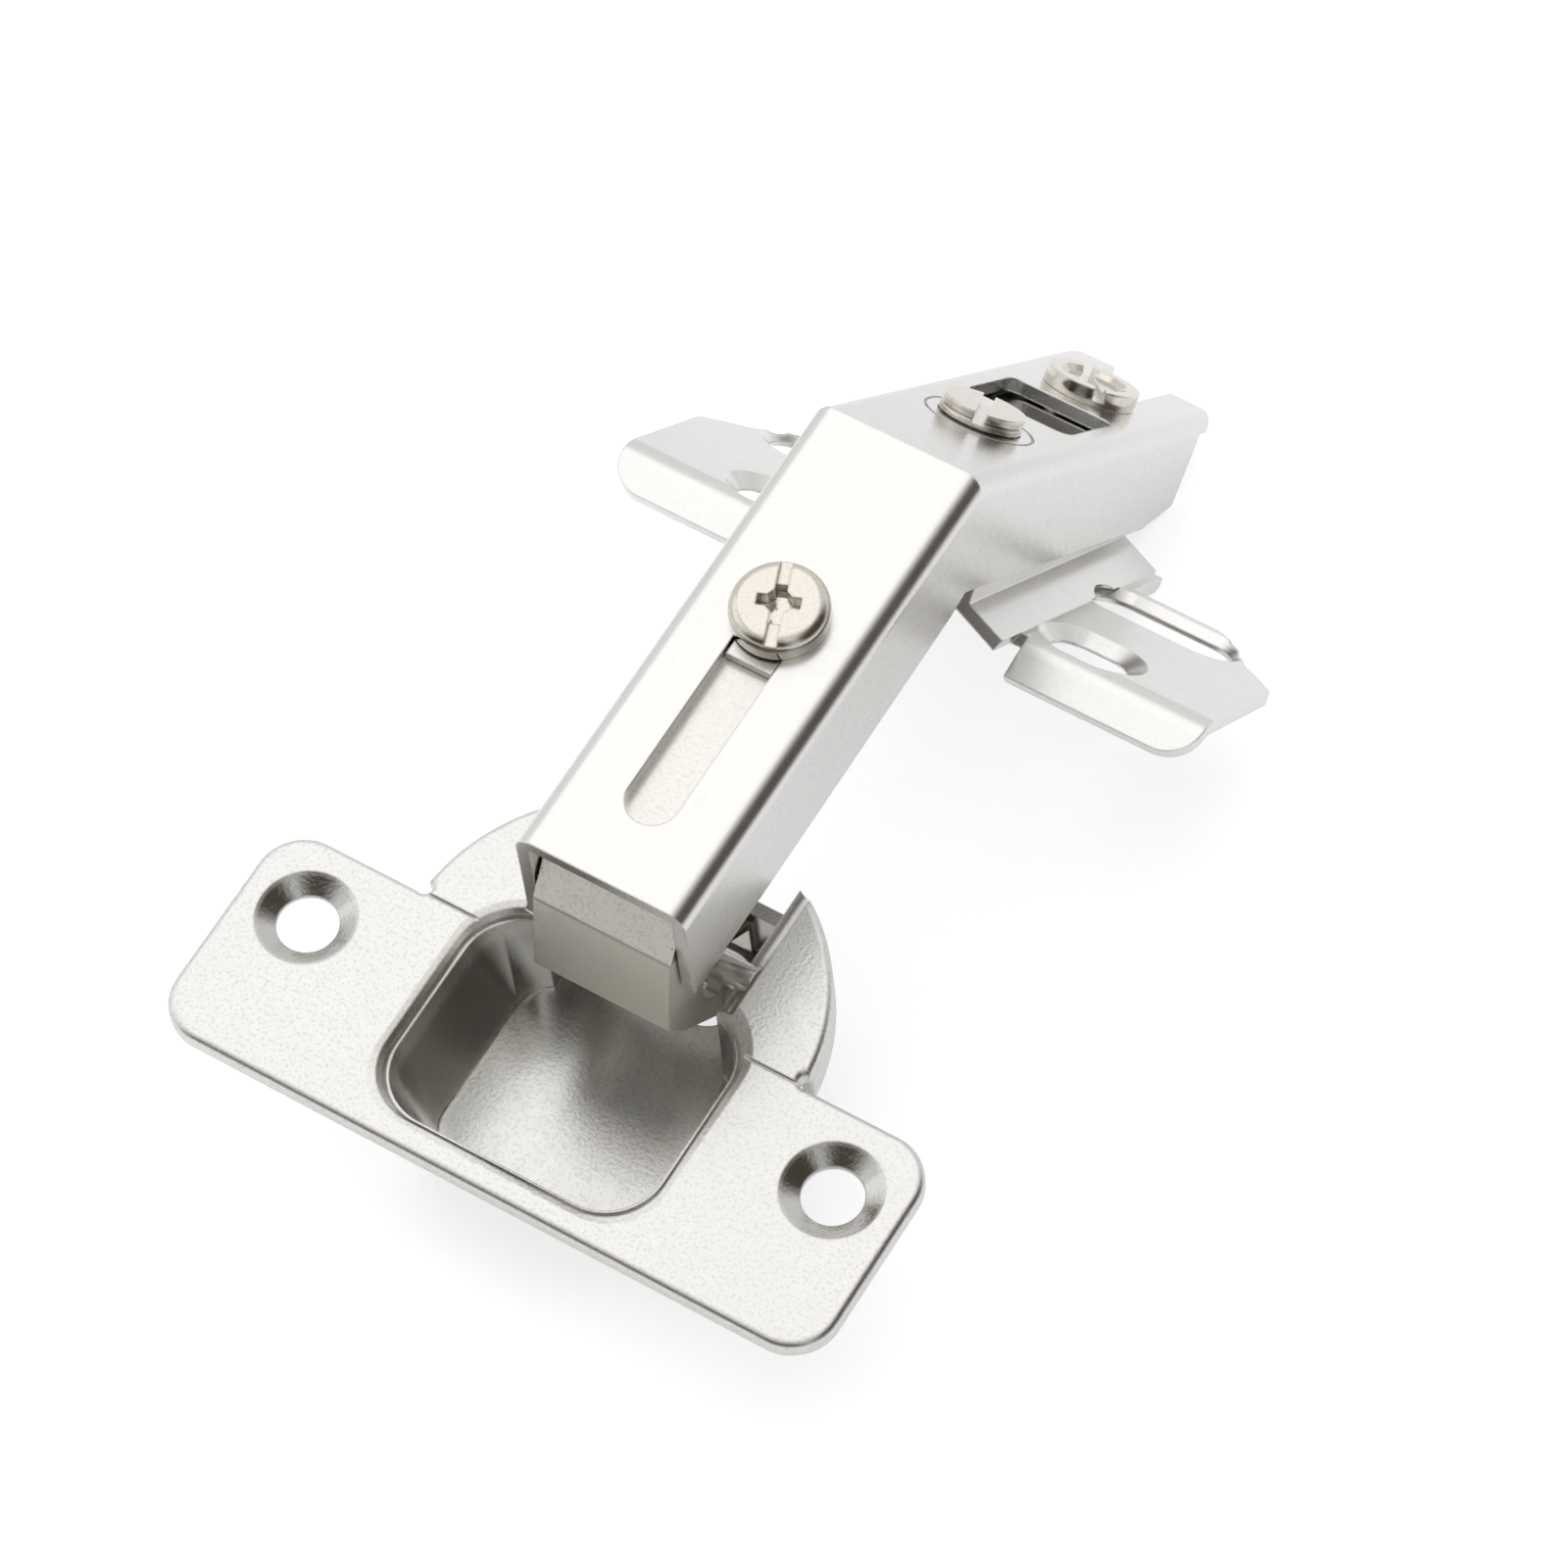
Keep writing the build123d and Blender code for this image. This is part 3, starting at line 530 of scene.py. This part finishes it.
class HINGE_OT_stage(bpy.types.Operator):
    """Set the white table, the soft light and the camera"""

    bl_idname = "hinge.stage"
    bl_label = "Stage"

    def execute(self, context):
        settings = context.scene.hinge_settings
        self.table(context, settings)
        self.world(context, settings)
        self.lights(context, settings)
        self.camera(context)
        context.scene.view_settings.view_transform = "Standard"
        return {"FINISHED"}

    def table(self, context, settings):
        """Table that the cup and the rear end of the arm stand on."""
        slope = math.atan2(REAR_FOOT[1] - FRONT_FOOT[1], REAR_FOOT[0] - FRONT_FOOT[0])
        turn = Matrix.Rotation(slope, 4, "X")
        middle = Vector((0, FRONT_FOOT[0], FRONT_FOOT[1] - TABLE_GAP))
        half = settings.floor_size / 2
        square = ((-half, -half), (half, -half), (half, half), (-half, half))
        mesh = bpy.data.meshes.new("table")
        mesh.from_pydata([middle + turn @ Vector((x, y, 0)) for x, y in square], [], [(0, 1, 2, 3)])
        mesh.materials.append(self.table_white(settings))
        table = bpy.data.objects.new("table", mesh)
        context.scene.collection.objects.link(table)

    def table_white(self, settings):
        """White that glows to the camera, glows as painted reflection in metal near the model, and is clear
        to a camera below it.
        """
        material, tree, shader = new_material("white_table")
        coordinates = tree.nodes.new("ShaderNodeTexCoord").outputs["Object"]
        mottle = remap(tree, noise(tree, 900, 2, coordinates), 0.3, 0.7, 0, 1)
        tree.links.new(blend_color(tree, mottle, *TABLE_COLORS), shader.inputs["Base Color"])
        shader.inputs["Roughness"].default_value = 0.7
        shader.inputs["Specular IOR Level"].default_value = 0.2
        shader.inputs["Emission Color"].default_value = (1, 1, 1, 1)
        path = tree.nodes.new("ShaderNodeLightPath")
        # Painted reflection: the table glows only to reflection rays, and less with distance from the model
        length = vector_math(tree, "LENGTH", coordinates, (0, 0, 0))
        reflection_falloff = remap(tree, length.outputs["Value"], *PAINTED_REFLECTION_REACH, settings.table_painted_reflection, 0)
        painted_reflection = combine(tree, "MULTIPLY", path.outputs["Is Glossy Ray"], reflection_falloff)
        glow = combine(tree, "MULTIPLY", path.outputs["Is Camera Ray"], settings.table_glow)
        tree.links.new(combine(tree, "ADD", glow, painted_reflection), shader.inputs["Emission Strength"])
        under = tree.nodes.new("ShaderNodeNewGeometry").outputs["Backfacing"]
        clear = tree.nodes.new("ShaderNodeBsdfTransparent")
        mix = tree.nodes.new("ShaderNodeMixShader")
        tree.links.new(combine(tree, "MULTIPLY", under, path.outputs["Is Camera Ray"]), mix.inputs[0])
        tree.links.new(shader.outputs["BSDF"], mix.inputs[1])
        tree.links.new(clear.outputs["BSDF"], mix.inputs[2])
        tree.links.new(mix.outputs[0], tree.nodes["Material Output"].inputs["Surface"])
        return material

    def world(self, context, settings):
        """Light tent with a dark opening in front and on the right, white to the camera."""
        world = bpy.data.worlds.new("studio")
        context.scene.world = world
        world.use_nodes = True
        tree = world.node_tree
        tree.nodes.clear()
        output = tree.nodes.new("ShaderNodeOutputWorld")
        room = tree.nodes.new("ShaderNodeBackground")
        white = tree.nodes.new("ShaderNodeBackground")
        white.inputs["Color"].default_value = (1, 1, 1, 1)
        white.inputs["Strength"].default_value = 1.0
        mix = tree.nodes.new("ShaderNodeMixShader")
        path = tree.nodes.new("ShaderNodeLightPath")
        direction = tree.nodes.new("ShaderNodeTexCoord").outputs["Generated"]
        color = (1.0, 1.0, 1.0)
        for aim, begins, full in DARK_OPENINGS:
            facing = vector_math(tree, "DOT_PRODUCT", direction, Vector(aim).normalized())
            dark = remap(tree, facing.outputs["Value"], begins, full, 0, 1)
            color = blend_color(tree, dark, color, DARK_COLOR)
        tree.links.new(color, room.inputs["Color"])
        room.inputs["Strength"].default_value = settings.room_light
        tree.links.new(path.outputs["Is Camera Ray"], mix.inputs[0])
        tree.links.new(room.outputs[0], mix.inputs[1])
        tree.links.new(white.outputs[0], mix.inputs[2])
        tree.links.new(mix.outputs[0], output.inputs["Surface"])

    def lights(self, context, settings):
        """Large soft lights over the table."""
        for name, place, size, share in SOFT_LIGHTS:
            light = bpy.data.lights.new(name, "AREA")
            light.shape = "SQUARE"
            light.size = size
            light.energy = settings.light_power * share
            lamp = bpy.data.objects.new(name, light)
            lamp.location = place
            lamp.rotation_euler = (Vector(LIGHT_AIM) - Vector(place)).to_track_quat("-Z", "Y").to_euler()
            context.scene.collection.objects.link(lamp)

    def camera(self, context):
        """Camera of the photograph."""
        data = bpy.data.cameras.new("photo_camera")
        data.lens = CAMERA_LENS
        data.sensor_width = SENSOR_WIDTH
        data.clip_start = 0.01
        camera = bpy.data.objects.new("photo_camera", data)
        right, down, away = (Vector(axis).normalized() for axis in (CAMERA_RIGHT, CAMERA_DOWN, CAMERA_AWAY))
        turn = Matrix((right, -down, -away)).transposed().to_4x4()
        camera.matrix_world = Matrix.Translation(Vector(CAMERA_PLACE)) @ turn
        context.scene.collection.objects.link(camera)
        context.scene.camera = camera


class HINGE_PT_panel(bpy.types.Panel):
    """Settings and buttons of the hinge"""

    bl_label = "Corner Cabinet Hinge"
    bl_idname = "HINGE_PT_panel"
    bl_space_type = "VIEW_3D"
    bl_region_type = "UI"
    bl_category = "Hinge"

    def draw(self, context):
        settings = context.scene.hinge_settings
        for name in HINGE_PG_settings.__annotations__:
            self.layout.prop(settings, name)
        for operator in OPERATORS:
            self.layout.operator(operator.bl_idname)


OPERATORS = (
    HINGE_OT_cup, HINGE_OT_links, HINGE_OT_pins, HINGE_OT_spring, HINGE_OT_slide,
    HINGE_OT_arm, HINGE_OT_plate, HINGE_OT_screws, HINGE_OT_stage,
)
CLASSES = (HINGE_PG_settings, *OPERATORS, HINGE_PT_panel)


def register():
    for item in CLASSES:
        bpy.utils.register_class(item)
    bpy.types.Scene.hinge_settings = PointerProperty(type=HINGE_PG_settings)


def unregister():
    del bpy.types.Scene.hinge_settings
    for item in reversed(CLASSES):
        bpy.utils.unregister_class(item)


def main():
    register()
    bpy.ops.hinge.cup()
    bpy.ops.hinge.links()
    bpy.ops.hinge.pins()
    bpy.ops.hinge.spring()
    bpy.ops.hinge.slide()
    bpy.ops.hinge.arm()
    bpy.ops.hinge.plate()
    bpy.ops.hinge.screws()
    bpy.ops.hinge.stage()


if __name__ == "__main__":
    main()
